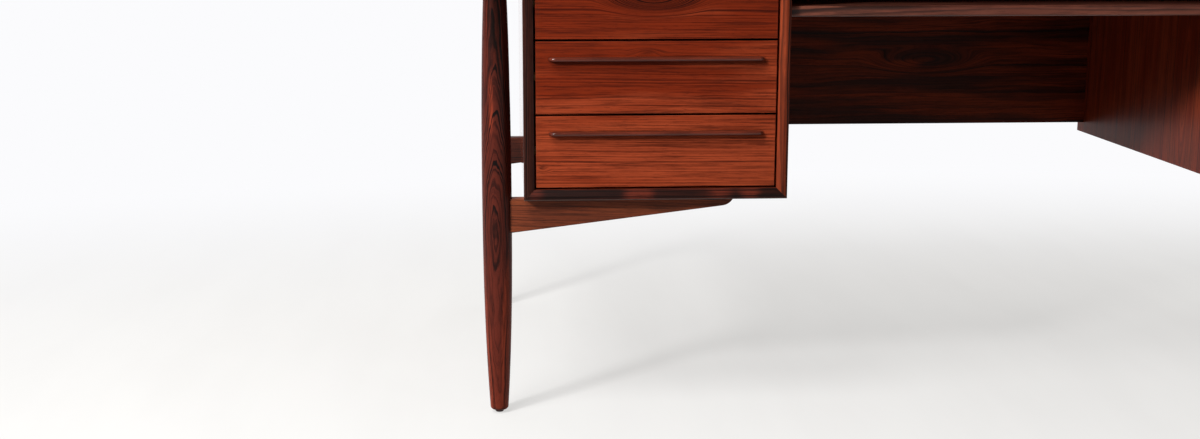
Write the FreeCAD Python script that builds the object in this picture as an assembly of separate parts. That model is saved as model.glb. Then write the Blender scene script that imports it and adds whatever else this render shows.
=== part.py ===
# Executive desk: a desktop carried by four turned legs, with two three-drawer cases hung
# between the legs on tapered arms, an open shelf over the knee space and a modesty panel.
# Millimetres. +X is the sitter's right, -Y faces the sitter, +Z is up. The origin is on the
# floor, under the middle of the desktop.

import FreeCAD, Part
import os

Vector = FreeCAD.Vector

# Layout
desk_height = 737.0
knee_width = 736.0
case_width = 402.0
case_depth = 735.0
end_overhang = 80.0
front_overhang = 30.0
back_overhang = 35.0

# Desktop: a veneered panel in a solid lipping, bevelled underneath
top_thickness = 25.0
lipping_width = 22.0
under_bevel_height = 12.0
under_bevel_width = 16.0
top_edge_radius = 2.0

# Cases: boards mitred at the corners, with a rounded rim and a bevel round the front opening
wall = 16.0
rim_width = 7.0
bevel_depth = 7.0
rim_radius = 2.0
case_back_thickness = 9.0
case_back_rabbet = 8.0

# Drawers
drawer_levels = ("bottom", "middle", "top")
front_height = 109.0
front_thickness = 18.0
front_recess = 8.0
front_arris = 0.8
reveal = 3.0
drawer_rear_space = 135.0
side_thickness = 12.0
side_height = 96.0
side_lift = 3.0
drawer_back_thickness = 10.0
drawer_back_drop = 4.0
drawer_bottom_thickness = 5.0
drawer_bottom_lift = 8.0
drawer_bottom_tongue = 6.0

# Dovetails at the drawer corners
tail_count = 3
tail_lap = 12.0
tail_flare = 2.5
pin_width = 7.0

# Wooden side runners, which the drawer sides' grooves hang on
groove_height = 13.0
groove_depth = 6.5
groove_rise = 4.0
runner_clearance = 0.3
runner_tip_clearance = 0.5
runner_setback = 20.0

# Lip pulls, each with a tongue glued into the drawer front
pull_margin = 19.0
pull_drop = 25.0
pull_reach = 10.5
pull_root_height = 3.6
pull_nose_height = 5.8
pull_top_fall = 0.6
pull_cove_rise = 0.8
pull_tongue_depth = 6.0
pull_tongue_height = 2.6
pull_tongue_inset = 16.0

# Turned legs on nailed glides
leg_offset = 41.0
leg_foot_diameter = 27.7
leg_calf_diameter = 41.9
leg_belly_diameter = 45.3
leg_shoulder_diameter = 42.2
leg_top_diameter = 28.2
leg_belly_drop = 14.0
leg_foot_radius = 5.0
leg_tenon_diameter = 18.0
leg_tenon_length = 16.0
glide_diameter = 13.0
glide_height = 4.0
glide_edge = 1.2
glide_nail_diameter = 3.0
glide_nail_length = 14.0

# Arms that carry the cases from the legs, set back under them
arm_setback = 21.0
arm_thickness = 21.0
arm_root_height = 51.0
arm_tip_height = 13.9
arm_reach = 306.0
arm_nose_length = 17.5
arm_edge_radius = 2.0
arm_top_radius = 3.0
arm_tenon_thickness = 10.0
arm_tenon_depth = 16.0
arm_tenon_shoulder = 9.0

# Knee space
shelf_thickness = 16.0
shelf_drop = 79.5
shelf_setback = 12.0
shelf_edge_radius = 3.0
modesty_thickness = 16.0
modesty_height = 351.0
modesty_inset = 14.0

# Screws that hold the desktop, arms, shelf and modesty panel to the cases
screw_diameter = 4.0
screw_head_diameter = 8.0
screw_head_height = 3.0
screw_recess = 4.0
screw_bite = 12.0
top_screw_inset_x = 80.0
top_screw_inset_y = 120.0
arm_screw_first = 60.0
arm_screw_pitch = 120.0
knee_screw_inset = 60.0

# Clearances of glued and driven fits
fit_clearance = 0.1
end_clearance = 0.5

# Places worked out from the sizes above; the left-hand case is drawn, the right one mirrored
desk_width = 2 * end_overhang + 2 * case_width + knee_width
desk_depth = front_overhang + case_depth + back_overhang
desk_side = desk_width / 2
desk_front = -desk_depth / 2
desk_back = desk_depth / 2
top_underside = desk_height - top_thickness

case_outer = -knee_width / 2 - case_width
case_inner = -knee_width / 2
case_front = desk_front + front_overhang
case_back = case_front + case_depth
drawer_pitch = front_height + reveal
case_height = 2 * wall + len(drawer_levels) * drawer_pitch + reveal
case_top = top_underside
case_bottom = case_top - case_height

drawer_left = case_outer + wall + reveal
drawer_right = case_inner - wall - reveal
drawer_face = case_front + front_recess
drawer_front_back = drawer_face + front_thickness
drawer_length = case_depth - drawer_rear_space
drawer_end = drawer_face + drawer_length
runner_length = drawer_length - runner_setback
pull_length = drawer_right - drawer_left - 2 * pull_margin

leg_x = case_outer - leg_offset
front_leg_y = case_front + arm_setback + arm_thickness / 2
back_leg_y = case_back - arm_setback - arm_thickness / 2

shelf_top = top_underside - shelf_drop
shelf_bottom = shelf_top - shelf_thickness
shelf_front = case_front + shelf_setback
modesty_back = case_back - modesty_inset
modesty_front = modesty_back - modesty_thickness
modesty_bottom = top_underside - modesty_height

screw_grip = wall - screw_recess
screw_length = screw_grip + screw_bite

up = Vector(0, 0, 1)
inward = Vector(1, 0, 0)
backward = Vector(0, 1, 0)


def block(x_range, y_range, z_range):
    corner = Vector(x_range[0], y_range[0], z_range[0])
    size_x = x_range[1] - x_range[0]
    size_y = y_range[1] - y_range[0]
    size_z = z_range[1] - z_range[0]
    return Part.makeBox(size_x, size_y, size_z, corner)


def prism(points, sweep):
    outline = Part.makePolygon(points + [points[0]])
    return Part.Face(outline).extrude(sweep)


def upright_rectangle(y, x_range, z_range):
    corners = [Vector(x_range[0], y, z_range[0]), Vector(x_range[1], y, z_range[0]),
               Vector(x_range[1], y, z_range[1]), Vector(x_range[0], y, z_range[1])]
    return Part.makePolygon(corners + [corners[0]])


def level_rectangle(z, x_range, y_range):
    corners = [Vector(x_range[0], y_range[0], z), Vector(x_range[1], y_range[0], z),
               Vector(x_range[1], y_range[1], z), Vector(x_range[0], y_range[1], z)]
    return Part.makePolygon(corners + [corners[0]])


def mirrored(shape):
    return shape.mirror(Vector(0, 0, 0), inward)


def near(value, target):
    return abs(value - target) < 0.01


def edges_where(shape, test):
    return [edge for edge in shape.Edges if all(test(vertex.Point) for vertex in edge.Vertexes)]


def cut_all(shape, tools):
    return shape.cut(Part.makeCompound(tools))


# Screws: a head that seats in a counterbore and a plain shank
def screw(seat, direction):
    shank = Part.makeCylinder(screw_diameter / 2, screw_length, seat, direction)
    head_start = seat - direction * screw_head_height
    head = Part.makeCylinder(screw_head_diameter / 2, screw_head_height, head_start, direction)
    return shank.fuse(head).removeSplitter()


def screw_hole(seat, direction, bore_length):
    radius = screw_diameter / 2 + fit_clearance
    hole = Part.makeCylinder(radius, screw_length + end_clearance, seat, direction)
    bore_start = seat - direction * bore_length
    bore_radius = screw_head_diameter / 2 + fit_clearance
    return hole.fuse(Part.makeCylinder(bore_radius, bore_length, bore_start, direction))


def top_screw_seats():
    seats = []
    for x in (case_outer + top_screw_inset_x, case_inner - top_screw_inset_x):
        for y in (case_front + top_screw_inset_y, case_back - top_screw_inset_y):
            seats.append(Vector(x, y, case_top - screw_grip))
    return seats


def arm_screw_seats(leg_y):
    first = case_outer + arm_screw_first
    seat_z = case_bottom - screw_grip
    return [Vector(x, leg_y, seat_z) for x in (first, first + arm_screw_pitch)]


def knee_screw_seats():
    seat_x = case_inner - screw_grip
    shelf_z = shelf_bottom + shelf_thickness / 2
    shelf_middle = (shelf_front + modesty_front) / 2
    modesty_y = modesty_front + modesty_thickness / 2
    modesty_middle = (modesty_bottom + top_underside) / 2
    seats = []
    for y in (shelf_front + knee_screw_inset, shelf_middle, modesty_front - knee_screw_inset):
        seats.append(Vector(seat_x, y, shelf_z))
    for z in (modesty_bottom + knee_screw_inset, modesty_middle, top_underside - knee_screw_inset):
        seats.append(Vector(seat_x, modesty_y, z))
    return seats


def top_screw_holes():
    return [screw_hole(seat, up, screw_recess) for seat in top_screw_seats()]


def arm_screw_holes(leg_y):
    return [screw_hole(seat, up, arm_root_height) for seat in arm_screw_seats(leg_y)]


def knee_screw_holes():
    return [screw_hole(seat, inward, screw_recess) for seat in knee_screw_seats()]


def assembly_screws():
    upright_seats = top_screw_seats() + arm_screw_seats(front_leg_y) + arm_screw_seats(back_leg_y)
    screws = [screw(seat, up) for seat in upright_seats]
    screws += [screw(seat, inward) for seat in knee_screw_seats()]
    screws += [mirrored(one) for one in screws]
    return Part.makeCompound(screws)


# Legs: one turned profile, tenoned into the desktop
def turned_leg(leg_y):
    belly_z = case_bottom - leg_belly_drop
    stations = [(leg_foot_diameter, glide_height),
                (leg_calf_diameter, (glide_height + belly_z) / 2),
                (leg_belly_diameter, belly_z),
                (leg_shoulder_diameter, (belly_z + top_underside) / 2),
                (leg_top_diameter, top_underside)]
    points = [Vector(diameter / 2, 0, z) for diameter, z in stations]
    swell = Part.BSplineCurve()
    swell.interpolate(points)
    tenon_radius = leg_tenon_diameter / 2
    tenon_top = top_underside + leg_tenon_length
    rest = Part.makePolygon([points[-1], Vector(tenon_radius, 0, top_underside),
                             Vector(tenon_radius, 0, tenon_top), Vector(0, 0, tenon_top),
                             Vector(0, 0, glide_height), points[0]])
    profile = Part.Wire([swell.toShape()] + rest.Edges)
    leg = Part.Face(profile).revolve(Vector(0, 0, 0), up, 360)
    foot = edges_where(leg, lambda p: near(p.z, glide_height) and near(p.x, leg_foot_diameter / 2))
    leg = leg.makeFillet(leg_foot_radius, foot)
    leg.translate(Vector(leg_x, leg_y, 0))
    return leg


def leg_tenon_hole(leg_y):
    base = Vector(leg_x, leg_y, top_underside)
    return Part.makeCylinder(leg_tenon_diameter / 2 + fit_clearance, leg_tenon_length + end_clearance, base)


def glide_nail(leg_y, radius, length):
    return Part.makeCylinder(radius, length, Vector(leg_x, leg_y, glide_height))


def leg(leg_y):
    nail_radius = glide_nail_diameter / 2 + fit_clearance
    nail_hole = glide_nail(leg_y, nail_radius, glide_nail_length + end_clearance)
    return cut_all(turned_leg(leg_y), [arm_tenon(leg_y, end_clearance), nail_hole])


def glide(leg_y):
    disc = Part.makeCylinder(glide_diameter / 2, glide_height, Vector(leg_x, leg_y, 0))
    disc = disc.makeFillet(glide_edge, edges_where(disc, lambda p: near(p.z, 0)))
    return disc.fuse(glide_nail(leg_y, glide_nail_diameter / 2, glide_nail_length))


def foot_glides():
    left = [glide(front_leg_y), glide(back_leg_y)]
    return Part.makeCompound(left + [mirrored(one) for one in left])


# Arms: a straight taper with a rounded nose, coped to the leg and tenoned into it
def arm_tenon(leg_y, extra_depth):
    leg_face = leg_x + leg_belly_diameter / 2
    half = arm_tenon_thickness / 2
    bottom = case_bottom - arm_root_height + arm_tenon_shoulder
    return block((leg_face - arm_tenon_depth - extra_depth, leg_face + arm_tenon_shoulder),
                 (leg_y - half, leg_y + half), (bottom, case_bottom - arm_tenon_shoulder))


def tangent_arc(start, end, heading):
    normal = heading.cross(backward).normalize()
    chord = end - start
    radius = chord.Length ** 2 / (2 * chord.dot(normal))
    centre = start + normal * radius
    middle_way = (start + end) * 0.5 - centre
    return Part.Arc(start, centre + middle_way.normalize() * radius, end).toShape()


def arm_outline(y):
    slope = (arm_root_height - arm_tip_height) / arm_reach
    root_height = arm_root_height + slope * leg_offset
    nose_x = case_outer + arm_reach
    root_top = Vector(leg_x, y, case_bottom)
    root_bottom = Vector(leg_x, y, case_bottom - root_height)
    nose_start = Vector(nose_x, y, case_bottom - arm_tip_height)
    nose_end = Vector(nose_x + arm_nose_length, y, case_bottom)
    heading = (nose_start - root_bottom).normalize()
    return Part.Wire([Part.makeLine(root_top, root_bottom), Part.makeLine(root_bottom, nose_start),
                      tangent_arc(nose_start, nose_end, heading), Part.makeLine(nose_end, root_top)])


# What is taken off a long upper edge to round it; inside points from the edge into the arm
def arm_top_waste(y, inside):
    corner = Vector(leg_x, y, case_bottom)
    over = corner + inside * arm_top_radius
    down = corner - up * arm_top_radius
    centre = over - up * arm_top_radius
    middle = centre + (up - inside).normalize() * arm_top_radius
    waste = Part.Wire([Part.makeLine(corner, over), Part.Arc(over, middle, down).toShape(),
                       Part.makeLine(down, corner)])
    return Part.Face(waste).extrude(inward * (leg_offset + arm_reach + arm_nose_length))


def arm(leg_y):
    front = leg_y - arm_thickness / 2
    back = leg_y + arm_thickness / 2
    body = Part.Face(arm_outline(front)).extrude(Vector(0, arm_thickness, 0))
    lower = []
    for edge in body.Edges:
        start, end = edge.Vertexes[0].Point, edge.Vertexes[-1].Point
        along = near(start.y, end.y) and not near(start.x, end.x)
        if along and not (near(start.z, case_bottom) and near(end.z, case_bottom)):
            lower.append(edge)
    body = body.makeFillet(arm_edge_radius, lower)
    body = cut_all(body, [arm_top_waste(front, backward), arm_top_waste(back, -backward)])
    tenon = arm_tenon(leg_y, 0)
    body = body.cut(turned_leg(leg_y)).fuse(tenon).removeSplitter()
    return cut_all(body, arm_screw_holes(leg_y))


# Cases: four mitred boards, a bevelled opening and a back let into a rabbet
def case_opening_bevel():
    slope = (wall - rim_width) / bevel_depth
    proud = bevel_depth
    wires = []
    for y, inset in ((case_front - proud, rim_width - slope * proud), (case_front + bevel_depth, wall)):
        wires.append(upright_rectangle(y, (case_outer + inset, case_inner - inset),
                                       (case_bottom + inset, case_top - inset)))
    return Part.makeLoft(wires, True, True)


def case_back_space():
    inset = wall - case_back_rabbet
    return block((case_outer + inset, case_inner - inset), (case_back - case_back_thickness, case_back),
                 (case_bottom + inset, case_top - inset))


def mitred_board(outer_start, outer_end, inner_end, inner_start):
    corners = [Vector(x, case_front, z) for x, z in (outer_start, outer_end, inner_end, inner_start)]
    board = prism(corners, Vector(0, case_depth, 0))
    outer_front = edges_where(board, lambda p: near(p.y, case_front) and is_case_outside(p))
    board = board.makeFillet(rim_radius, outer_front)
    return cut_all(board, [case_opening_bevel(), case_back_space()])


def is_case_outside(p):
    return near(p.x, case_outer) or near(p.x, case_inner) or near(p.z, case_top) or near(p.z, case_bottom)


def case_corners(inset):
    left, right = case_outer + inset, case_inner - inset
    low, high = case_bottom + inset, case_top - inset
    return [(left, low), (right, low), (right, high), (left, high)]


def case_boards():
    outside = case_corners(0)
    inside = case_corners(wall)
    boards = []
    for start in range(4):
        end = (start + 1) % 4
        boards.append(mitred_board(outside[start], outside[end], inside[end], inside[start]))
    bottom, inner_side, top, outer_side = boards
    bottom_holes = arm_screw_holes(front_leg_y) + arm_screw_holes(back_leg_y)
    return {"case_outer_side": outer_side,
            "case_inner_side": cut_all(inner_side, knee_screw_holes()),
            "case_top": cut_all(top, top_screw_holes()),
            "case_bottom": cut_all(bottom, bottom_holes),
            "case_back": case_back_space()}


def drawer_bottom_z(level):
    return case_bottom + wall + reveal + level * drawer_pitch


def groove_z(level):
    return drawer_bottom_z(level) + side_lift + side_height / 2 + groove_rise


def runners():
    start = drawer_front_back + runner_tip_clearance
    reach = reveal + groove_depth - runner_tip_clearance
    half = groove_height / 2 - runner_clearance
    strips = []
    for level in range(len(drawer_levels)):
        z_range = (groove_z(level) - half, groove_z(level) + half)
        y_range = (start, start + runner_length)
        strips.append(block((case_outer + wall, case_outer + wall + reach), y_range, z_range))
        strips.append(block((case_inner - wall - reach, case_inner - wall), y_range, z_range))
    return Part.makeCompound(strips)


# Drawers: half-blind dovetails at the front, through dovetails at the back
def tails(x_range, y_root, y_tip, z_range):
    pitch = (z_range[1] - z_range[0]) / tail_count
    tip_half = (pitch - pin_width) / 2
    root_half = tip_half - tail_flare
    shapes = []
    for number in range(tail_count):
        middle = z_range[0] + (number + 0.5) * pitch
        outline = ((y_root, middle - root_half), (y_tip, middle - tip_half),
                   (y_tip, middle + tip_half), (y_root, middle + root_half))
        corners = [Vector(x_range[0], y, z) for y, z in outline]
        shapes.append(prism(corners, Vector(x_range[1] - x_range[0], 0, 0)))
    return shapes


def pull(middle_x, face_y, middle_z):
    top = pull_root_height / 2
    nose_top = Vector(0, face_y - pull_reach + pull_nose_height / 2, middle_z + top - pull_top_fall)
    nose_tip = Vector(0, face_y - pull_reach, nose_top.z - pull_nose_height / 2)
    nose_bottom = Vector(0, nose_top.y, nose_top.z - pull_nose_height)
    root_top = Vector(0, face_y, middle_z + top)
    root_bottom = Vector(0, face_y, middle_z - top)
    cove = (nose_bottom + root_bottom) * 0.5 + Vector(0, 0, pull_cove_rise)
    section = Part.Face(Part.Wire([Part.makeLine(root_top, nose_top),
                                   Part.Arc(nose_top, nose_tip, nose_bottom).toShape(),
                                   Part.Arc(nose_bottom, cove, root_bottom).toShape(),
                                   Part.makeLine(root_bottom, root_top)]))
    straight = pull_length - 2 * pull_reach
    section.translate(Vector(middle_x - straight / 2, 0, 0))
    bar = section.extrude(Vector(straight, 0, 0))
    left_end = section.revolve(Vector(middle_x - straight / 2, face_y, 0), up, -90)
    section.translate(Vector(straight, 0, 0))
    right_end = section.revolve(Vector(middle_x + straight / 2, face_y, 0), up, 90)
    return bar.fuse([left_end, right_end, pull_tongue(middle_x, face_y, middle_z)]).removeSplitter()


def pull_tongue(middle_x, face_y, middle_z):
    half_length = pull_length / 2 - pull_tongue_inset
    half_height = pull_tongue_height / 2
    return block((middle_x - half_length, middle_x + half_length), (face_y, face_y + pull_tongue_depth),
                 (middle_z - half_height, middle_z + half_height))


def drawer(level):
    front_z = drawer_bottom_z(level)
    side_z = front_z + side_lift
    side_top = side_z + side_height
    panel_z = side_z + drawer_bottom_lift
    panel_top = panel_z + drawer_bottom_thickness
    back_y = drawer_end - drawer_back_thickness
    back_z = (panel_top, side_top - drawer_back_drop)
    tongue = drawer_bottom_tongue
    inner_left = drawer_left + side_thickness
    inner_right = drawer_right - side_thickness
    middle_x = (drawer_left + drawer_right) / 2
    pull_z = front_z + front_height - pull_drop

    panel_rise = (panel_z, panel_top)
    panel = block((inner_left - tongue, inner_right + tongue), (drawer_front_back, drawer_end), panel_rise)
    tongue_run = (drawer_front_back - tongue, drawer_front_back)
    front_tongue = block((inner_left, inner_right), tongue_run, panel_rise)
    panel = panel.fuse(front_tongue).removeSplitter()

    full_width = (drawer_left, drawer_right)
    front = block(full_width, (drawer_face, drawer_front_back), (front_z, front_z + front_height))
    front = front.makeFillet(front_arris, edges_where(front, lambda p: near(p.y, drawer_face)))
    back = block(full_width, (back_y, drawer_end), back_z)
    groove_span = (groove_z(level) - groove_height / 2, groove_z(level) + groove_height / 2)
    sides = []
    for x_range, groove_x in (((drawer_left, inner_left), (drawer_left, drawer_left + groove_depth)),
                              ((inner_right, drawer_right), (drawer_right - groove_depth, drawer_right))):
        front_tails = tails(x_range, drawer_front_back, drawer_front_back - tail_lap, (side_z, side_top))
        back_tails = tails(x_range, back_y, drawer_end, back_z)
        heel = block(x_range, (back_y, drawer_end), (side_z, panel_top))
        groove = block(groove_x, (drawer_front_back, drawer_end), groove_span)
        board = block(x_range, (drawer_front_back, back_y), (side_z, side_top))
        board = board.fuse(front_tails + back_tails + [heel]).removeSplitter()
        sides.append(cut_all(board, [groove, panel]))
        front = cut_all(front, front_tails)
        back = cut_all(back, back_tails + [groove])
    front = cut_all(front, [front_tongue, pull_tongue(middle_x, drawer_face, pull_z)])
    return {"front": front, "pull": pull(middle_x, drawer_face, pull_z),
            "sides": Part.makeCompound(sides), "back": back, "bottom": panel}


# Desktop: the outer form, bevelled underneath, is shared out between the panel and the lippings
def desktop_form():
    bevel_top = top_underside + under_bevel_height
    x_range, y_range = (-desk_side, desk_side), (desk_front, desk_back)
    narrow_x = (under_bevel_width - desk_side, desk_side - under_bevel_width)
    narrow_y = (desk_front + under_bevel_width, desk_back - under_bevel_width)
    lower = Part.makeLoft([level_rectangle(top_underside, narrow_x, narrow_y),
                           level_rectangle(bevel_top, x_range, y_range)], True, True)
    upper = block(x_range, y_range, (bevel_top, desk_height))
    upper = upper.makeFillet(top_edge_radius, edges_where(upper, lambda p: near(p.z, desk_height)))
    return lower.fuse(upper).removeSplitter()


def desktop_panel():
    x_range = (lipping_width - desk_side, desk_side - lipping_width)
    y_range = (desk_front + lipping_width, desk_back - lipping_width)
    panel = block(x_range, y_range, (top_underside, desk_height))
    left_holes = top_screw_holes() + [leg_tenon_hole(front_leg_y), leg_tenon_hole(back_leg_y)]
    return cut_all(panel, left_holes + [mirrored(hole) for hole in left_holes])


def lippings():
    form = desktop_form()
    left, right = lipping_width - desk_side, desk_side - lipping_width
    front, back = desk_front + lipping_width, desk_back - lipping_width
    outlines = {"front": ((-desk_side, desk_front), (desk_side, desk_front), (right, front), (left, front)),
                "back": ((-desk_side, desk_back), (desk_side, desk_back), (right, back), (left, back)),
                "left": ((-desk_side, desk_front), (-desk_side, desk_back), (left, back), (left, front)),
                "right": ((desk_side, desk_front), (desk_side, desk_back), (right, back), (right, front))}
    strips = {}
    for name, outline in outlines.items():
        corners = [Vector(x, y, top_underside) for x, y in outline]
        strips[name] = prism(corners, Vector(0, 0, top_thickness)).common(form)
    return strips


# Knee space: a shelf and a modesty panel, screwed between the cases
def knee_shelf():
    shelf = block((case_inner, -case_inner), (shelf_front, modesty_front), (shelf_bottom, shelf_top))
    front_edges = edges_where(shelf, lambda p: near(p.y, shelf_front))
    long_edges = [edge for edge in front_edges if near(edge.Length, knee_width)]
    shelf = shelf.makeFillet(shelf_edge_radius, long_edges)
    holes = knee_screw_holes()
    return cut_all(shelf, holes + [mirrored(hole) for hole in holes])


def modesty_panel():
    panel = block((case_inner, -case_inner), (modesty_front, modesty_back), (modesty_bottom, top_underside))
    holes = knee_screw_holes()
    return cut_all(panel, holes + [mirrored(hole) for hole in holes])


def left_nodes():
    pieces = {"leg_front": leg(front_leg_y), "leg_back": leg(back_leg_y),
              "arm_front": arm(front_leg_y), "arm_back": arm(back_leg_y),
              "runners": runners()}
    pieces.update(case_boards())
    for level, level_name in enumerate(drawer_levels):
        for piece_name, piece in drawer(level).items():
            pieces[level_name + "_drawer_" + piece_name] = piece
    return pieces


def desk_nodes():
    nodes = {"desktop_panel": desktop_panel(), "knee_shelf": knee_shelf(), "modesty_panel": modesty_panel(),
             "foot_glides": foot_glides(), "assembly_screws": assembly_screws()}
    for name, strip in lippings().items():
        nodes["desktop_lipping_" + name] = strip
    for name, piece in left_nodes().items():
        nodes["left_" + name] = piece
        nodes["right_" + name] = mirrored(piece)
    return nodes


os.makedirs("parts", exist_ok=True)
for node_name, node_shape in desk_nodes().items():
    node_shape.exportStep("parts/" + node_name + ".step")
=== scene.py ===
import math

import bmesh
import bpy
from mathutils import Matrix, Vector


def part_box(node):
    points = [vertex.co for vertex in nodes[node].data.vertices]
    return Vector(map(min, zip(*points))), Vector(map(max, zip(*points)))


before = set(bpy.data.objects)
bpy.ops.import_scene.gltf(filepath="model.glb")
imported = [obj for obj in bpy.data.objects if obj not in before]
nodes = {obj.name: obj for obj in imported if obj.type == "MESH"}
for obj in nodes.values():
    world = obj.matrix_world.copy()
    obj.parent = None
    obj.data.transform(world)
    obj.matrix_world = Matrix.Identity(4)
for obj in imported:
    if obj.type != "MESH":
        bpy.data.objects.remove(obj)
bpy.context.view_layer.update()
scene = bpy.context.scene
scene.view_settings.view_transform = "Standard"
print("frame loaded:", len(nodes), "nodes")


# Camera, fitted to the photograph's 1200 x 439 frame
cameraSettings = {
    "place": (-0.79325, -2.58266, 0.7512),
    "yaw": 3.58,      # degrees to the right of +Y
    "pitch": 11.214,  # degrees down
    "roll": -0.049,
    "lens": 44.57,
    "sensor": 36.0,
}


def addCamera(settings):
    yaw, pitch, roll = (math.radians(settings[key]) for key in ("yaw", "pitch", "roll"))
    data = bpy.data.cameras.new("photoCamera")
    data.lens = settings["lens"]
    data.sensor_fit = "HORIZONTAL"
    data.sensor_width = settings["sensor"]
    camera = bpy.data.objects.new("photoCamera", data)
    scene.collection.objects.link(camera)
    turn = Matrix.Rotation(-yaw, 4, "Z") @ Matrix.Rotation(math.pi / 2 - pitch, 4, "X")
    turn = turn @ Matrix.Rotation(-roll, 4, "Z")
    camera.matrix_world = Matrix.Translation(settings["place"]) @ turn
    scene.camera = camera


addCamera(cameraSettings)
print("camera placed")


# Short ways to build node trees
def feed(tree, socket, value):
    if isinstance(value, bpy.types.NodeSocket):
        tree.links.new(value, socket)
    else:
        socket.default_value = value


def put(tree, kind, values=None, **settings):
    node = tree.nodes.new("ShaderNode" + kind)
    for name, value in settings.items():
        setattr(node, name, value)
    for key, value in (values or {}).items():
        feed(tree, node.inputs[key], value)
    return node


def calc(tree, operation, *values):
    return put(tree, "Math", dict(enumerate(values)), operation=operation).outputs[0]


def vecCalc(tree, operation, *values):
    node = put(tree, "VectorMath", dict(enumerate(values)), operation=operation)
    return node.outputs["Value" if operation == "LENGTH" else "Vector"]


def vecScale(tree, vector, factor):
    return put(tree, "VectorMath", {0: vector, "Scale": factor}, operation="SCALE").outputs["Vector"]


def span(tree, value, low, high, newLow=0.0, newHigh=1.0, kind="SMOOTHSTEP"):
    values = {"Value": value, "From Min": low, "From Max": high, "To Min": newLow, "To Max": newHigh}
    return put(tree, "MapRange", values, interpolation_type=kind).outputs["Result"]


def blend(tree, factor, first, second):
    return put(tree, "Mix", {0: factor, 6: first, 7: second}, data_type="RGBA").outputs[2]


def noise(tree, place, scale, shift, detail=2.0, rough=0.55):
    at = vecCalc(tree, "ADD", vecCalc(tree, "MULTIPLY", place, scale), shift)
    return put(tree, "TexNoise", {"Vector": at, "Scale": 1.0, "Detail": detail, "Roughness": rough}).outputs


def objectPlace(tree):
    return put(tree, "TexCoord").outputs["Object"]


def newGroup(name, inputs, outputs):
    tree = bpy.data.node_groups.new(name, "ShaderNodeTree")
    for label, kind in inputs:
        tree.interface.new_socket(label, in_out="INPUT", socket_type="NodeSocket" + kind)
    for label, kind in outputs:
        tree.interface.new_socket(label, in_out="OUTPUT", socket_type="NodeSocket" + kind)
    return tree, tree.nodes.new("NodeGroupInput").outputs, tree.nodes.new("NodeGroupOutput").inputs


def newMaterial(name):
    material = bpy.data.materials.new(name)
    material.use_nodes = True
    return material, material.node_tree, material.node_tree.nodes["Principled BSDF"]


def tint(red, green, blue):  # a screen colour, 0 to 255, as a linear one
    parts = [part / 255 for part in (red, green, blue)]
    return [part / 12.92 if part < 0.04045 else ((part + 0.055) / 1.055) ** 2.4 for part in parts] + [1.0]


# Light: a low window on the left, a softer lamp above it and a pale room that dims to the front
lightSettings = {
    "target": (-0.55, -0.36, 0.45),
    "lamps": {  # angles in degrees, left of the desk's front and up from the floor
        "windowLamp": {"left": 50, "up": 26.6, "distance": 3.4, "size": 0.5, "level": 0.9},
        "upperLamp": {"left": 47, "up": 57, "distance": 2.8, "size": 1.2, "level": 0.85},
        "glintLamp": {"left": -48, "up": 34, "distance": 3.4, "size": 0.25, "level": 0.04},
    },
    "backRoom": 0.85,          # level of the room's light from behind
    "frontRoom": 0.06,         # and from the front
    "gloss": 1.0,              # how bright the room's pale part looks in polish
    "fillTurn": (-0.55, 0.4),  # where the room turns pale, from front to back
    "glossTurn": (0.0, 0.6),   # the same, as seen in polish
    "backdrop": (0.97, 0.97, 0.98, 1.0),
}


def addLamp(name, settings, target):
    left, up = math.radians(settings["left"]), math.radians(settings["up"])
    away = Vector((-math.sin(left) * math.cos(up), -math.cos(left) * math.cos(up), math.sin(up)))
    data = bpy.data.lights.new(name, "AREA")
    data.shape = "DISK"
    data.size = settings["size"]
    data.energy = settings["level"] * math.pi ** 2 * settings["distance"] ** 2
    lamp = bpy.data.objects.new(name, data)
    scene.collection.objects.link(lamp)
    turn = away.to_track_quat("Z", "Y").to_matrix().to_4x4()
    lamp.matrix_world = Matrix.Translation(Vector(target) + away * settings["distance"]) @ turn


def addRoom(settings):
    world = bpy.data.worlds.new("paleRoom")
    scene.world = world
    world.use_nodes = True
    tree = world.node_tree
    path = put(tree, "LightPath").outputs
    way = put(tree, "SeparateXYZ", {0: put(tree, "TexCoord").outputs["Generated"]}).outputs
    fill = span(tree, way["Y"], *settings["fillTurn"], settings["frontRoom"], settings["backRoom"])
    polish = span(tree, way["Y"], *settings["glossTurn"], settings["frontRoom"], settings["gloss"])
    seen = calc(tree, "MAXIMUM", path["Is Camera Ray"], path["Is Transmission Ray"])
    level = blend(tree, path["Is Glossy Ray"], fill, polish)
    feed(tree, tree.nodes["Background"].inputs["Color"], blend(tree, seen, level, settings["backdrop"]))


for lampName, lampSettings in lightSettings["lamps"].items():
    addLamp(lampName, lampSettings, lightSettings["target"])
addRoom(lightSettings)


# Floor: plain and pale, fading to white away from the desk
floorSettings = {
    "radius": 30.0,
    "segments": 96,
    "drop": 0.0004,
    "colour": tint(236, 235, 233),
    "shade": tint(234, 233, 231),
    "far": tint(251, 251, 253),
    "mottleScale": (7.0, 1.6, 1.0), "mottleDetail": 4.0, "mottleTurn": (0.35, 0.7),
    "bounce": 0.23,      # how much of its light reaches the object again
    "ownLight": 0.72,    # share of its look that shadows don't reach
    "fade": (0.6, 1.7),  # as shares of the reach
    "middle": (0.0, -0.6, 0.0), "reach": (2.3, 1.5, 1.0),
}


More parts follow.
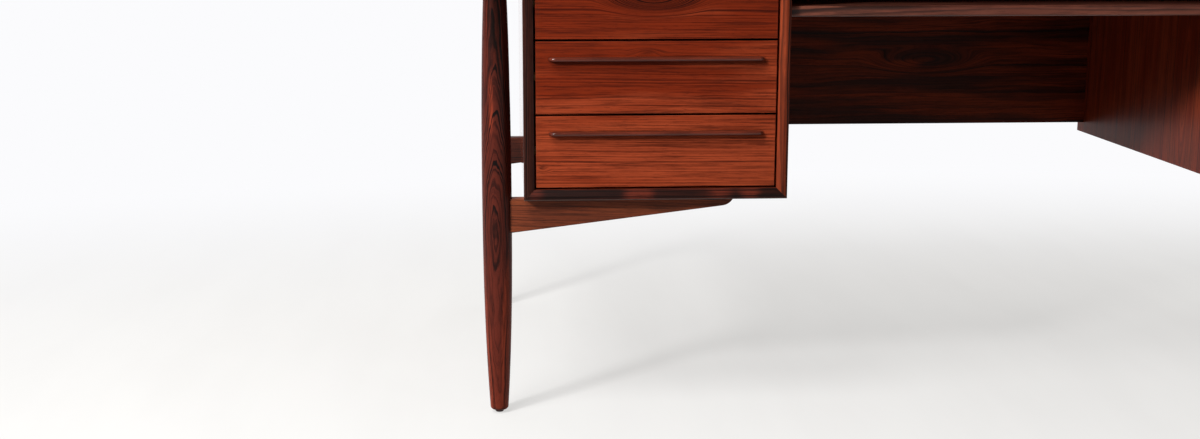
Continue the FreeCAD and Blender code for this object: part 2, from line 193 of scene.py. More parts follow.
def floorMaterial(settings):
    material, tree, shader = newMaterial("paleFloor")
    place = objectPlace(tree)
    mottle = noise(tree, place, settings["mottleScale"], (0, 0, 0), settings["mottleDetail"])["Fac"]
    look = blend(tree, span(tree, mottle, *settings["mottleTurn"]), settings["colour"], settings["shade"])
    lit = put(tree, "BsdfDiffuse", {"Color": look})
    dim = put(tree, "BsdfDiffuse", {"Color": [settings["bounce"]] * 3 + [1.0]})
    glow = put(tree, "Emission", {"Color": look, "Strength": 1.0})
    white = put(tree, "Emission", {"Color": settings["far"], "Strength": 1.0})
    share = vecCalc(tree, "DIVIDE", vecCalc(tree, "SUBTRACT", place, settings["middle"]), settings["reach"])
    far = span(tree, vecCalc(tree, "LENGTH", share), *settings["fade"])
    near = put(tree, "MixShader", {0: settings["ownLight"], 1: lit.outputs[0], 2: glow.outputs[0]})
    shown = put(tree, "MixShader", {0: far, 1: near.outputs[0], 2: white.outputs[0]})
    path = put(tree, "LightPath").outputs
    seen = calc(tree, "MAXIMUM", path["Is Camera Ray"], path["Is Glossy Ray"])
    seen = calc(tree, "MAXIMUM", seen, path["Is Transmission Ray"])
    both = put(tree, "MixShader", {0: seen, 1: dim.outputs[0], 2: shown.outputs[0]})
    tree.links.new(both.outputs[0], tree.nodes["Material Output"].inputs["Surface"])
    tree.nodes.remove(shader)
    return material


def addFloor(settings):
    mesh = bpy.data.meshes.new("floor")
    shape = bmesh.new()
    bmesh.ops.create_circle(shape, cap_ends=True, radius=settings["radius"], segments=settings["segments"])
    bmesh.ops.translate(shape, verts=shape.verts, vec=(0, 0, -settings["drop"]))
    shape.to_mesh(mesh)
    shape.free()
    floor = bpy.data.objects.new("floor", mesh)
    scene.collection.objects.link(floor)
    mesh.materials.append(floorMaterial(settings))


addFloor(floorSettings)
print("light and floor ready")


# Wood figure: growth rings about a heart line, cut by the piece's own surface. Place runs along
# the grain in X and across it in Y and Z, from the heart line, in metres. Stretch makes the rings
# close in long ovals. Cone makes them close in arches, from the heart's point up to Arch Length.
figureMasks = ("Rings", "Ink", "Fibre", "Pores", "Tone")
figureKeys = {  # the group's sockets, and what the settings call them
    "Ring Width": "rings", "Stretch": "stretch", "Cone": "cone", "Arch Length": "archLength",
    "Waver": "waver", "Jitter": "jitter", "Sap": "sap", "Sap Start": "sapStart", "Seed": "seed",
}
figureSettings = {
    "seedShift": (0.37, 1.71, 2.53),  # how far a seed moves the noise
    "slowScale": (2.2, 12.0, 12.0), "quickScale": (13.0, 70.0, 70.0),  # two sizes of waver
    "sway": (0.0, 2.0, 2.0),
    "unevenScale": 0.37, "uneven": 1.6,  # rings differ in width
    "late": (0.35, 0.86), "lateEnd": (0.90, 1.0),  # where in a ring its dark wood starts and ends
    "faintest": 0.25,  # the palest ring, as a share of the darkest
    "inkScale": (4.0, 30.0, 1.0), "inkTurn": (1.12, 1.42),  # the few rings that turn black
    "fibreScale": (11.0, 390.0, 1.0), "fibreDetail": 5.0, "fibreRough": 0.7,
    "poreScale": (70.0, 1300.0, 1300.0), "poreDetail": 1.0, "poreTurn": (0.62, 0.74),
    "patchScale": (3.0, 34.0, 1.0), "patchDetail": 3.0,
}
midGrey = (0.5, 0.5, 0.5)  # the noise's middle


def woodFigure(settings):
    tree, given, made = newGroup(
        "woodFigure", [("Place", "Vector")] + [(label, "Float") for label in figureKeys],
        [(label, "Float") for label in figureMasks])
    place = given["Place"]
    shift = vecCalc(tree, "MULTIPLY", given["Seed"], settings["seedShift"])
    slow = vecCalc(tree, "SUBTRACT", noise(tree, place, settings["slowScale"], shift)["Color"], midGrey)
    quick = vecCalc(tree, "SUBTRACT", noise(tree, place, settings["quickScale"], shift)["Color"], midGrey)
    both = vecCalc(tree, "ADD", slow, vecScale(tree, quick, given["Jitter"]))
    push = vecCalc(tree, "MULTIPLY", both, settings["sway"])
    bent = vecCalc(tree, "ADD", place, vecScale(tree, push, given["Waver"]))
    along = put(tree, "SeparateXYZ", {0: bent}).outputs["X"]
    squeeze = put(tree, "CombineXYZ", {0: given["Stretch"], 1: 1.0, 2: 1.0}).outputs[0]
    radius = vecCalc(tree, "LENGTH", vecCalc(tree, "MULTIPLY", bent, squeeze))
    arch = span(tree, along, 0.0, given["Arch Length"], 0.0, given["Arch Length"])
    radius = calc(tree, "MULTIPLY_ADD", arch, given["Cone"], radius)
    count = calc(tree, "DIVIDE", radius, given["Ring Width"])
    step = calc(tree, "MULTIPLY_ADD", count, settings["unevenScale"], given["Seed"])
    uneven = put(tree, "TexNoise", {"W": step, "Scale": 1.0, "Detail": 1.0}, noise_dimensions="1D")
    count = calc(tree, "MULTIPLY_ADD", uneven.outputs["Fac"], settings["uneven"], count)
    part = calc(tree, "FRACT", count)
    whole = calc(tree, "ADD", calc(tree, "FLOOR", count), given["Seed"])
    level = put(tree, "TexWhiteNoise", {"W": whole}, noise_dimensions="1D").outputs["Value"]
    ending = span(tree, part, *settings["lateEnd"], 1.0, 0.0)
    late = calc(tree, "MULTIPLY", span(tree, part, *settings["late"]), ending)
    shown = span(tree, level, 0.0, 1.0, settings["faintest"], 1.0, "LINEAR")
    feed(tree, made["Rings"], calc(tree, "MULTIPLY", late, shown))
    layer = put(tree, "CombineXYZ", {0: along, 1: radius, 2: 0.0}).outputs[0]
    heavy = calc(tree, "ADD", level, noise(tree, layer, settings["inkScale"], shift)["Fac"])
    feed(tree, made["Ink"], calc(tree, "MULTIPLY", late, span(tree, heavy, *settings["inkTurn"])))
    fibre = noise(tree, layer, settings["fibreScale"], shift, settings["fibreDetail"], settings["fibreRough"])
    feed(tree, made["Fibre"], fibre["Fac"])
    pores = noise(tree, bent, settings["poreScale"], shift, settings["poreDetail"])["Fac"]
    feed(tree, made["Pores"], span(tree, pores, *settings["poreTurn"]))
    patch = noise(tree, layer, settings["patchScale"], shift, settings["patchDetail"])["Fac"]
    away = calc(tree, "SUBTRACT", radius, given["Sap Start"])
    feed(tree, made["Tone"], calc(tree, "MULTIPLY_ADD", away, given["Sap"], patch))
    return tree


# Colours over that figure, with the gloss and relief that go with them
tintKeys = {"Pale": "pale", "Mid": "mid", "Dark": "dark"}
depthKeys = {
    "Ring Depth": "ringDepth", "Ink Depth": "inkDepth", "Fibre Depth": "fibreDepth", "Rough": "rough",
}
colourSettings = {
    "toneTurn": (0.34, 0.66),   # from the middle colour to the pale one
    "fibreTurn": (0.44, 0.66),
    "poreInk": 0.5,
    "fibreRough": 0.14, "poreRough": 0.16,
    "fibreSink": 0.3, "poreSink": 0.7,
    "ink": (0.004, 0.002, 0.0015, 1.0), "inkShare": 0.7,  # over the wood's dark colour
}


def woodColours(settings):
    tints = [(label, "Color") for label in (*tintKeys, "Ink Tint")]
    tree, given, made = newGroup(
        "woodColours", [(label, "Float") for label in (*figureMasks, *depthKeys)] + tints,
        [("Colour", "Color"), ("Roughness", "Float"), ("Height", "Float")])
    body = blend(tree, span(tree, given["Tone"], *settings["toneTurn"]), given["Mid"], given["Pale"])
    streak = span(tree, given["Fibre"], *settings["fibreTurn"])
    body = blend(tree, calc(tree, "MULTIPLY", streak, given["Fibre Depth"]), body, given["Dark"])
    body = blend(tree, calc(tree, "MULTIPLY", given["Rings"], given["Ring Depth"]), body, given["Dark"])
    body = blend(tree, calc(tree, "MULTIPLY", given["Ink"], given["Ink Depth"]), body, given["Ink Tint"])
    body = blend(tree, calc(tree, "MULTIPLY", given["Pores"], settings["poreInk"]), body, given["Ink Tint"])
    feed(tree, made["Colour"], body)
    rough = calc(tree, "MULTIPLY_ADD", given["Fibre"], settings["fibreRough"], given["Rough"])
    feed(tree, made["Roughness"], calc(tree, "MULTIPLY_ADD", given["Pores"], settings["poreRough"], rough))
    low = calc(tree, "MULTIPLY", given["Fibre"], settings["fibreSink"])
    low = calc(tree, "MULTIPLY_ADD", given["Pores"], settings["poreSink"], low)
    feed(tree, made["Height"], calc(tree, "SUBTRACT", 1.0, low))
    return tree


figureGroup = woodFigure(figureSettings)
coloursGroup = woodColours(colourSettings)


def inkTint(dark):
    share = colourSettings["inkShare"]
    return [(1 - share) * under + share * over for under, over in zip(dark, colourSettings["ink"])]


def swirlMasks(tree, swirls):  # small humps that lift the grain, ink it or make it paler
    masks = {}
    if not swirls:
        return masks
    place = objectPlace(tree)
    for swirl in swirls:
        away = vecCalc(tree, "DIVIDE", vecCalc(tree, "SUBTRACT", place, swirl["at"]), swirl["reach"])
        hump = span(tree, vecCalc(tree, "LENGTH", away), swirl.get("core", 0.0), 1.0, 1.0, 0.0)
        for key in ("lift", "ink", "tone"):
            if key in swirl:
                masks[key] = calc(tree, "MULTIPLY_ADD", hump, swirl[key], masks.get(key, 0.0))
    return masks


def grainPlace(tree, settings, masks):
    place = objectPlace(tree)
    if "lift" in masks:
        place = vecCalc(tree, "ADD", place, put(tree, "CombineXYZ", {2: masks["lift"]}).outputs[0])
    fromHeart = {"Vector": place, "Location": [-part for part in settings["heart"]]}
    parts = put(tree, "SeparateXYZ", {0: put(tree, "Mapping", fromHeart).outputs[0]}).outputs
    order = [parts[axis.upper()] for axis in settings["grain"]]
    turned = put(tree, "CombineXYZ", dict(enumerate(order))).outputs[0]
    drift = (0, 0, math.radians(settings["drift"]))
    return put(tree, "Mapping", {"Vector": turned, "Rotation": drift}).outputs[0]


# Grain names the axes that run along, across and into the wood; heart is a point on its heart line.
# Drift turns the grain, in degrees. Sap is how much paler the wood gets for each metre away from
# the heart, from sapStart on.
rosewood = {
    "grain": "xzy", "heart": (0, 0, 0), "drift": 0.0, "swirls": (),
    "rings": 0.0026, "stretch": 0.14, "cone": 0.0, "archLength": 0.26, "waver": 0.004, "jitter": 0.2,
    "sap": 0.0, "sapStart": 0.0, "seed": 1.0,
    "pale": tint(152, 62, 33), "mid": tint(124, 41, 17), "dark": tint(58, 18, 9),
    "ringDepth": 0.5, "inkDepth": 0.8, "fibreDepth": 0.6,
    "gloss": 0.06, "rough": 0.34, "coat": 0.0, "coatRough": 0.14, "relief": 0.00012, "reliefStrength": 0.35,
}
swirlInk = {"rings": 0.9, "between": 0.3}  # a swirl's ink, on the ring lines and between them


def woodLook(tree, settings):
    masks = swirlMasks(tree, settings["swirls"])
    figure = put(tree, "Group", node_tree=figureGroup)
    feed(tree, figure.inputs["Place"], grainPlace(tree, settings, masks))
    for label, key in figureKeys.items():
        figure.inputs[label].default_value = settings[key]
    look = put(tree, "Group", node_tree=coloursGroup)
    for mask in figureMasks:
        tree.links.new(figure.outputs[mask], look.inputs[mask])
    if "ink" in masks:
        lines = calc(tree, "MULTIPLY_ADD", figure.outputs["Rings"], swirlInk["rings"], swirlInk["between"])
        feed(tree, look.inputs["Ink"], calc(tree, "MULTIPLY_ADD", lines, masks["ink"], figure.outputs["Ink"]))
    if "tone" in masks:
        feed(tree, look.inputs["Tone"], calc(tree, "ADD", figure.outputs["Tone"], masks["tone"]))
    for label, key in {**tintKeys, **depthKeys}.items():
        look.inputs[label].default_value = settings[key]
    look.inputs["Ink Tint"].default_value = inkTint(settings["dark"])
    return look.outputs


def finishWood(tree, shader, settings, look, colour):
    bump = put(tree, "Bump", {"Height": look["Height"], "Strength": settings["reliefStrength"],
                              "Distance": settings["relief"]})
    feed(tree, shader.inputs["Base Color"], colour)
    feed(tree, shader.inputs["Roughness"], look["Roughness"])
    feed(tree, shader.inputs["Normal"], bump.outputs[0])
    shader.inputs["Specular IOR Level"].default_value = settings["gloss"]
    shader.inputs["Coat Weight"].default_value = settings["coat"]
    shader.inputs["Coat Roughness"].default_value = settings["coatRough"]


def wood(name, changes):
    settings = {**rosewood, **changes}
    material, tree, shader = newMaterial(name)
    look = woodLook(tree, settings)
    finishWood(tree, shader, settings, look, look["Colour"])
    return material


def depthBlend(tree, depthFrom, depthTo, first, second):  # first in front, second behind
    depth = put(tree, "SeparateXYZ", {0: objectPlace(tree)}).outputs["Y"]
    return blend(tree, span(tree, depth, depthFrom, depthTo), first, second)


def dress(nodeName, material):
    mesh = nodes[nodeName].data
    mesh.materials.clear()
    mesh.materials.append(material)


def camel(*words):
    parts = "_".join(words).split("_")
    return parts[0] + "".join(part.title() for part in parts[1:])


sides = {"left": -1, "right": 1}
ends = {"front": 1, "back": -1}
levels = ("bottom", "middle", "top")

# Drawer fronts: one sheet of veneer for each stack, straight in the grain but for a few swirls
frontSettings = {
    # the heart sits above the drawers, so sap makes each stack paler towards the bottom: painted shade,
    # darker under the desktop
    "shared": {"rings": 0.0045, "stretch": 0.05, "jitter": 0.1, "sap": 1.4, "sapStart": 0.5,
               "ringDepth": 0.5, "inkDepth": 0.5, "fibreDepth": 0.7,
               "pale": tint(160, 67, 37), "mid": tint(122, 40, 16)},
    # painted shade: the fronts' edges are dark wood, darkened further so the gaps between drawers read black
    "edge": tint(28, 12, 9),          # the fronts' edges are dark
    "faceSkin": (0.0008, 0.0016),     # where the face's veneer ends, behind the face
    "insideSkin": (0.0008, 0.0004),   # where the inside's veneer starts, before the inside face
    "left": {"heart": (-0.50, -0.350, 0.99), "drift": 0.5, "seed": 3.0, "swirls": (
        {"at": (-0.574, -0.362, 0.643), "reach": (0.100, 0.05, 0.034), "lift": 0.058},
        {"at": (-0.573, -0.362, 0.644), "reach": (0.088, 0.05, 0.023), "core": 0.6, "ink": 2.2},
        {"at": (-0.582, -0.362, 0.566), "reach": (0.036, 0.05, 0.013), "lift": -0.007},
        {"at": (-0.582, -0.362, 0.565), "reach": (0.018, 0.05, 0.005), "ink": 2.0},
        # painted shade: a darker band across the top of the middle drawer and the foot of the top drawer
        {"at": (-0.570, -0.362, 0.575), "reach": (0.400, 0.05, 0.050), "tone": -0.12},
        {"at": (-0.570, -0.362, 0.612), "reach": (0.400, 0.05, 0.034), "core": 0.6, "tone": 0.03, "ink": 0.3},
        {"at": (-0.395, -0.362, 0.625), "reach": (0.090, 0.05, 0.050), "tone": -0.3},
        {"at": (-0.741, -0.362, 0.387), "reach": (0.016, 0.05, 0.009), "lift": 0.005, "ink": 0.5},
        {"at": (-0.744, -0.362, 0.390), "reach": (0.006, 0.05, 0.003), "ink": 1.2})},
    "right": {"heart": (0.46, -0.351, 0.98), "drift": -0.4, "seed": 8.0, "swirls": (
        {"at": (0.590, -0.362, 0.640), "reach": (0.106, 0.05, 0.035), "lift": 0.055},
        {"at": (0.591, -0.362, 0.642), "reach": (0.090, 0.05, 0.024), "core": 0.6, "ink": 1.8},
        {"at": (0.520, -0.362, 0.505), "reach": (0.036, 0.05, 0.016), "lift": -0.007},
        {"at": (0.690, -0.362, 0.420), "reach": (0.016, 0.05, 0.009), "lift": 0.005, "ink": 0.5},
        {"at": (0.687, -0.362, 0.423), "reach": (0.006, 0.05, 0.003), "ink": 1.2})},
}


def frontVeneer(name, settings, faceY, insideY):
    material, tree, shader = newMaterial(name)
    look = woodLook(tree, settings)
    faceFrom, faceTo = (faceY + skin for skin in frontSettings["faceSkin"])
    insideFrom, insideTo = (insideY - skin for skin in frontSettings["insideSkin"])
    # painted shade on the fronts' edges, between the face's veneer and the inside's
    colour = depthBlend(tree, faceFrom, faceTo, look["Colour"], frontSettings["edge"])
    colour = depthBlend(tree, insideFrom, insideTo, colour, look["Colour"])
    finishWood(tree, shader, settings, look, colour)
    return material


for side in sides:
    low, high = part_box(side + "_top_drawer_front")
    settings = {**rosewood, **frontSettings["shared"], **frontSettings[side]}
    sheet = frontVeneer(side + "DrawerVeneer", settings, low.y, high.y)
    for level in levels:
        dress(f"{side}_{level}_drawer_front", sheet)


# Pulls: solid wood, with painted shade along the joint with the drawer
pullSettings = {
    "rings": 0.003, "stretch": 0.03, "waver": 0.003, "seed": 20.0,
    "pale": tint(108, 44, 27), "mid": tint(84, 33, 20), "dark": tint(40, 16, 11),
    "gloss": 0.1, "coat": 0.5, "coatRough": 0.08,
    # painted shade along the joint with the drawer
    "shade": tint(30, 12, 8), "joint": (0.004, 0.001),  # where the dark starts and is full, before the drawer
    "heartAway": 0.02,  # behind and below the pull
}


def pullWood(name, settings, faceY):
    material, tree, shader = newMaterial(name)
    look = woodLook(tree, settings)
    jointFrom, jointTo = (faceY - before for before in settings["joint"])
    colour = depthBlend(tree, jointFrom, jointTo, look["Colour"], settings["shade"])
    finishWood(tree, shader, settings, look, colour)
    return material


for side, way in sides.items():
    for number, level in enumerate(levels):
        low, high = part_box(f"{side}_{level}_drawer_pull")
        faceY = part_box(f"{side}_{level}_drawer_front")[0].y
        away = pullSettings["heartAway"]
        settings = {**rosewood, **pullSettings, "seed": pullSettings["seed"] + way + number,
                    "heart": ((low.x + high.x) / 2, high.y + away, low.z - away)}
        dress(f"{side}_{level}_drawer_pull", pullWood(camel(side, level, "pull_wood"), settings, faceY))

# Legs: solid wood, its heart in front of the leg, so the swell shows nested arches
legSettings = {
    "grain": "zxy", "rings": 0.0022, "stretch": 0.0, "cone": 0.09, "archLength": 0.28,
    "waver": 0.007, "jitter": 0.5, "seed": 31.0,
    "pale": tint(146, 58, 36), "mid": tint(94, 37, 26), "dark": tint(20, 9, 7),
    "ringDepth": 0.8, "inkDepth": 0.95, "fibreDepth": 0.8, "gloss": 0.05, "coat": 0.08,
}
legHeart = {"aside": 0.006, "before": 0.075, "height": 0.275}
legFigureAndPaintedShade = (  # on the leg's front; aside is towards the case
    # painted shade: the first three marks, on the upper leg and its side towards the case
    {"aside": 0.000, "height": 0.62, "reach": (0.060, 0.034, 0.56), "core": 0.4, "tone": -0.4, "ink": 0.5},
    {"aside": 0.019, "height": 0.55, "reach": (0.031, 0.03, 0.34), "tone": -0.6, "ink": 1.6},
    {"aside": 0.000, "height": 0.65, "reach": (0.020, 0.03, 0.15), "tone": -0.9, "ink": 1.6},
    {"aside": -0.018, "height": 0.62, "reach": (0.016, 0.03, 0.20), "tone": -0.3},
    {"aside": -0.007, "height": 0.49, "reach": (0.009, 0.03, 0.11), "tone": 0.5, "ink": -0.3},
    {"aside": -0.012, "height": 0.34, "reach": (0.030, 0.03, 0.14), "tone": -0.2},
    {"aside": -0.004, "height": 0.10, "reach": (0.040, 0.06, 0.26), "core": 0.4, "tone": -0.08, "ink": -0.35},
    # painted light, low on the side towards the case
    {"aside": 0.015, "height": 0.08, "reach": (0.013, 0.05, 0.24), "core": 0.3, "tone": 0.4},
)
shadeBefore = 0.02  # from the leg's axis to the middle of a shade
# the marks, painted shade and light among them, are weaker on the right legs
paintedShadeStrength = {"left": 1.0, "right": 0.4}


def placeShade(shade, axis, way, toward, strength):
    at = (axis.x - way * shade["aside"], axis.y - toward * shadeBefore, shade["height"])
    weights = {key: shade[key] * strength for key in ("tone", "ink") if key in shade}
    return {**shade, **weights, "at": at}


for side, way in sides.items():
    for end, toward in ends.items():
        low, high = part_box(f"{side}_leg_{end}")
        axis = (low + high) / 2
        heart = (axis.x + way * legHeart["aside"], axis.y - toward * legHeart["before"], legHeart["height"])
        shades = [placeShade(shade, axis, way, toward, paintedShadeStrength[side]) for shade in legFigureAndPaintedShade]
        seed = legSettings["seed"] + 3 * way + toward
        dress(f"{side}_leg_{end}", wood(camel(side, end, "leg_wood"), {
            **legSettings, "heart": heart, "swirls": shades, "seed": seed}))

# Arms: solid wood; the back ones carry painted shade, darker all over and most of all along their lower edge
armSettings = {
    "both": {"rings": 0.0034, "stretch": 0.06, "waver": 0.006, "gloss": 0.16,
             "ringDepth": 0.7, "fibreDepth": 0.7},
    "front": {"pale": tint(158, 80, 46), "mid": tint(118, 55, 32), "dark": tint(50, 24, 15)},
    # painted shade: the back arms' colours are darker than the front ones
    "back": {"pale": tint(102, 48, 31), "mid": tint(68, 30, 20), "dark": tint(30, 13, 10)},
    # painted shade along the back arms' lower edge
    "under": {"reach": (1.0, 1.0, 0.05), "tone": -0.5, "ink": 0.8},
    "heartInto": 0.04, "heartBelow": 0.03,
    "drift": -2.0,
    "seed": 47.0,
}
for side, way in sides.items():
    for end, toward in ends.items():
        low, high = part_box(f"{side}_arm_{end}")
        middle = (low + high) / 2
        heart = (middle.x, middle.y + toward * armSettings["heartInto"], low.z - armSettings["heartBelow"])
        under = {**armSettings["under"], "at": (middle.x, middle.y, low.z)}
        dress(f"{side}_arm_{end}", wood(camel(side, end, "arm_wood"), {
            **armSettings["both"], **armSettings[end], "heart": heart, "drift": armSettings["drift"] * way,
            "swirls": (under,) if end == "back" else (), "seed": armSettings["seed"] + 3 * way + toward}))

# Case boards: veneer outside and inside, with a solid edge round the front
caseSettings = {
    "edgeDepth": 0.0085,
    "face": {"rings": 0.004, "stretch": 0.09, "waver": 0.008, "coat": 0.04},
    "faceGrain": {"outer_side": "zyx", "inner_side": "zyx", "top": "xyz", "bottom": "xyz"},
    "satin": 0.38, "mirror": 0.03,  # roughness of the faces, seen square and seen very flat
    "mirrorTurn": (0.955, 0.988),   # how flat, as Layer Weight gives it
    # painted highlight: a pale line along the lower arris, standing in for its reflection
    "worn": tint(104, 84, 78), "highlightHeight": 0.0024, "highlightShare": 0.7,  # a pale line along the lower arris
    "edge": {"rings": 0.0030, "stretch": 0.02, "waver": 0.004,
             "ringDepth": 0.6, "inkDepth": 0.9, "fibreDepth": 0.65},
    "boards": {  # the edges' own colours and grain
        "outer_side": {"grain": "zxy", "pale": tint(86, 43, 32), "mid": tint(66, 32, 24),
                       "dark": tint(22, 12, 10)},
        "inner_side": {"grain": "zxy", "pale": tint(150, 64, 34), "mid": tint(130, 52, 27),
                       "dark": tint(50, 21, 13), "ringDepth": 0.35, "inkDepth": 0.5, "fibreDepth": 0.45},
        "top": {"grain": "xzy", "pale": tint(92, 42, 28), "mid": tint(60, 27, 19), "dark": tint(28, 13, 10)},
        "bottom": {"grain": "xzy", "pale": tint(96, 38, 25), "mid": tint(36, 16, 12), "dark": tint(15, 8, 7),
                   "sap": -3.0},
    },
    "marks": {  # places on the edges that differ, for the left case; the right one mirrors them
        "outer_side": (
            {"at": (-0.755, -0.366, 0.345), "reach": (0.014, 0.05, 0.016), "tone": 0.4},
            {"at": (-0.7665, -0.37, 0.525), "reach": (0.0062, 0.02, 0.6), "ink": 0.8, "tone": -0.4},
            {"at": (-0.7580, -0.37, 0.525), "reach": (0.0050, 0.02, 0.6), "tone": 0.5}),
        "inner_side": (
            {"at": (-0.3705, -0.37, 0.525), "reach": (0.0072, 0.02, 0.6), "ink": 4.0, "tone": -0.6},),
        "top": (),
        "bottom": (
            {"at": (-0.596, -0.366, 0.349), "reach": (0.034, 0.05, 0.03), "tone": 0.35},
            {"at": (-0.471, -0.366, 0.349), "reach": (0.026, 0.05, 0.03), "tone": 0.18},
            {"at": (-0.425, -0.366, 0.349), "reach": (0.024, 0.05, 0.03), "tone": 0.26},
            {"at": (-0.752, -0.366, 0.349), "reach": (0.020, 0.05, 0.03), "tone": 0.2}),
    },
    "faceHeartBefore": 0.1, "edgeHeartAway": 0.03,
    "seed": 60.0, "edgeSeedStep": 0.5,
}
caseBackSettings = {"grain": "zxy", "rings": 0.005, "stretch": 0.1, "waver": 0.008, "seed": 77.0}


def caseWood(name, face, edge, corner, settings):
    material, tree, shader = newMaterial(name)
    broad = woodLook(tree, face)
    narrow = woodLook(tree, edge)
    place = put(tree, "SeparateXYZ", {0: objectPlace(tree)}).outputs
    isEdge = calc(tree, "LESS_THAN", place["Y"], corner.y + settings["edgeDepth"])
    # painted highlight along the lower arris of the front edge
    highlightFrom, highlightTo = corner.z + settings["highlightHeight"] / 2, corner.z + settings["highlightHeight"]
    isArris = span(tree, place["Z"], highlightFrom, highlightTo, settings["highlightShare"], 0.0)
    edgeColour = blend(tree, isArris, narrow["Colour"], settings["worn"])
    facing = put(tree, "LayerWeight", {"Blend": 0.5}).outputs["Facing"]
    polish = span(tree, facing, *settings["mirrorTurn"], settings["satin"], settings["mirror"])
    look = {"Roughness": put(tree, "Mix", {0: isEdge, 2: polish, 3: narrow["Roughness"]}).outputs[0],
            "Height": calc(tree, "MULTIPLY", isEdge, narrow["Height"])}
    finishWood(tree, shader, face, look, blend(tree, isEdge, broad["Colour"], edgeColour))
    return material


def mirrored(mark, way):
    x, y, z = mark["at"]
    return {**mark, "at": (-way * x, y, z)}


for side, way in sides.items():
    for number, (board, colours) in enumerate(caseSettings["boards"].items()):
        low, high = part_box(f"{side}_case_{board}")
        middle = (low + high) / 2
        seed = caseSettings["seed"] + 5 * way + number
        before, away = caseSettings["faceHeartBefore"], caseSettings["edgeHeartAway"]
        face = {**rosewood, **caseSettings["face"], "grain": caseSettings["faceGrain"][board],
                "heart": (middle.x, middle.y - before, middle.z), "seed": seed}
        marks = [mirrored(mark, way) for mark in caseSettings["marks"][board]]
        edge = {**rosewood, **caseSettings["edge"], **colours, "swirls": marks,
                "heart": (middle.x + away, low.y + away, middle.z + away),
                "seed": seed + caseSettings["edgeSeedStep"]}
        sheet = caseWood(camel(side, board, "case_wood"), face, edge, low, caseSettings)
        dress(f"{side}_case_{board}", sheet)
    low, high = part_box(f"{side}_case_back")
    dress(f"{side}_case_back", wood(side + "CaseBackVeneer", {
        **caseBackSettings, "heart": ((low + high) / 2)[:], "seed": caseBackSettings["seed"] + way}))

# Knee space: the shelf, and a modesty panel with painted shade, darker on the side towards the sitter
shelfSettings = {"grain": "xyz", "heart": (0.1, -0.3, 0.60), "rings": 0.004, "stretch": 0.06, "seed": 91.0,
                 "pale": tint(124, 70, 54), "mid": tint(96, 50, 38), "dark": tint(50, 26, 20), "gloss": 0.25}
modestySettings = {
    # painted shade: darker colours on the side towards the sitter
    "front": {
        "heart": (0.02, 0.343, 0.80), "rings": 0.008, "stretch": 0.05, "waver": 0.016, "seed": 95.0,
        "swirls": ({"at": (0.04, 0.335, 0.484), "reach": (0.15, 0.05, 0.036), "lift": 0.05, "ink": 0.4},
                   {"at": (0.00, 0.335, 0.482), "reach": (0.05, 0.05, 0.012), "ink": -1.0, "tone": 0.3}),
        "pale": tint(136, 54, 27), "mid": tint(58, 22, 11), "dark": tint(12, 5, 4), "gloss": 0.08,
    },
    "back": {"heart": (0.15, 0.33, 0.50), "rings": 0.006, "stretch": 0.06, "waver": 0.010, "seed": 97.0},
    "seam": 0.002,  # either side of the panel's middle, where one veneer turns into the other
}


def modestyVeneerWithPaintedShade(name, settings, middleY):
    material, tree, shader = newMaterial(name)
    front, back = ({**rosewood, **settings[face]} for face in ("front", "back"))
    frontLook, backLook = woodLook(tree, front), woodLook(tree, back)
    seam = settings["seam"]
    colour = depthBlend(tree, middleY - seam, middleY + seam, frontLook["Colour"], backLook["Colour"])
    finishWood(tree, shader, front, frontLook, colour)
    return material


dress("knee_shelf", wood("kneeShelfWood", shelfSettings))
low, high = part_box("modesty_panel")
dress("modesty_panel", modestyVeneerWithPaintedShade("modestyPanelPaintedShade", modestySettings, (low.y + high.y) / 2))

# Desktop: a veneered panel in solid lippings
topSettings = {
    "panel": {"grain": "xyz", "heart": (0.52, -0.05, 0.706), "rings": 0.0055, "stretch": 0.055,
              "waver": 0.016, "ringDepth": 0.45, "inkDepth": 0.3, "gloss": 0.2, "seed": 101.0},
    "lipping": {"rings": 0.003, "stretch": 0.03, "waver": 0.003, "gloss": 0.25, "seed": 110.0},
    "lippingHeart": Vector((0.01, 0.01, -0.05)),  # from the lipping's middle
    "lippingGrain": {"front": "xyz", "back": "xyz", "left": "yxz", "right": "yxz"},
}
dress("desktop_panel", wood("desktopVeneer", topSettings["panel"]))
for number, (edge, grain) in enumerate(topSettings["lippingGrain"].items()):
    low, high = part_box("desktop_lipping_" + edge)
    heart = ((low + high) / 2 + topSettings["lippingHeart"])[:]
    seed = topSettings["lipping"]["seed"] + number
    dress("desktop_lipping_" + edge, wood(edge + "LippingWood", {
        **topSettings["lipping"], "grain": grain, "heart": heart, "seed": seed}))
print("rosewood dressed")


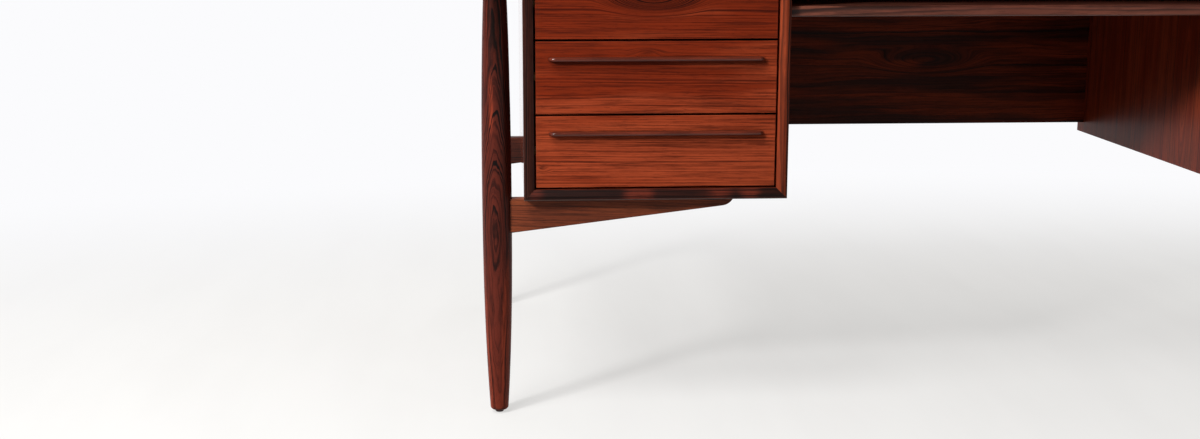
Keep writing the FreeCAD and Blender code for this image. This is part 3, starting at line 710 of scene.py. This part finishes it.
# Drawer boxes and runners: pale oak, and plywood bottoms
oakSettings = {
    "rings": 0.0045, "stretch": 0.02, "waver": 0.004, "gloss": 0.25,
    "pale": tint(206, 170, 120), "mid": tint(188, 148, 98), "dark": tint(142, 104, 64),
    "ringDepth": 0.4, "inkDepth": 0.0, "fibreDepth": 0.45,
}
boxSettings = {
    "sides": {"finish": "side_oak", "grain": "yzx", "seed": 120.0},
    "back": {"finish": "back_oak", "seed": 140.0},
    "bottom": {"finish": "bottom_ply", "grain": "xyz", "rings": 0.009, "seed": 160.0},
}
boxHeartBelow = 0.06
runnerSettings = {"grain": "yzx", "seed": 160.0}
for side, way in sides.items():
    for number, level in enumerate(levels):
        stem = f"{side}_{level}_drawer_"
        low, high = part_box(stem + "sides")
        heart = ((low.x + high.x) / 2, (low.y + high.y) / 2, low.z - boxHeartBelow)
        for piece, settings in boxSettings.items():
            seed = settings["seed"] + 4 * way + number
            dress(stem + piece, wood(camel(side, level, settings["finish"]), {
                **oakSettings, **settings, "heart": heart, "seed": seed}))
    low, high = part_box(side + "_runners")
    heart = ((low + high) / 2)[:]
    seed = runnerSettings["seed"] + way
    dress(side + "_runners", wood(side + "RunnerOak", {
        **oakSettings, **runnerSettings, "heart": heart, "seed": seed}))


# Steel: dark glides and bright screws
steelSettings = {
    "glide": {"bright": tint(66, 52, 50), "dull": tint(34, 26, 26)},
    "screw": {"bright": tint(190, 186, 176), "dull": tint(140, 134, 124)},
    "speckScale": (900.0, 900.0, 900.0), "speckDetail": 3.0, "speckTurn": (0.4, 0.7),
    "roughTurn": (0.3, 0.7), "rough": (0.25, 0.5),
}


def steel(name, colours, settings):
    material, tree, shader = newMaterial(name)
    specks = noise(tree, objectPlace(tree), settings["speckScale"], (0, 0, 0), settings["speckDetail"])["Fac"]
    colour = blend(tree, span(tree, specks, *settings["speckTurn"]), colours["bright"], colours["dull"])
    feed(tree, shader.inputs["Base Color"], colour)
    feed(tree, shader.inputs["Roughness"], span(tree, specks, *settings["roughTurn"], *settings["rough"]))
    shader.inputs["Metallic"].default_value = 1.0
    return material


dress("foot_glides", steel("glideSteel", steelSettings["glide"], steelSettings))
dress("assembly_screws", steel("screwSteel", steelSettings["screw"], steelSettings))
print("oak and steel dressed")
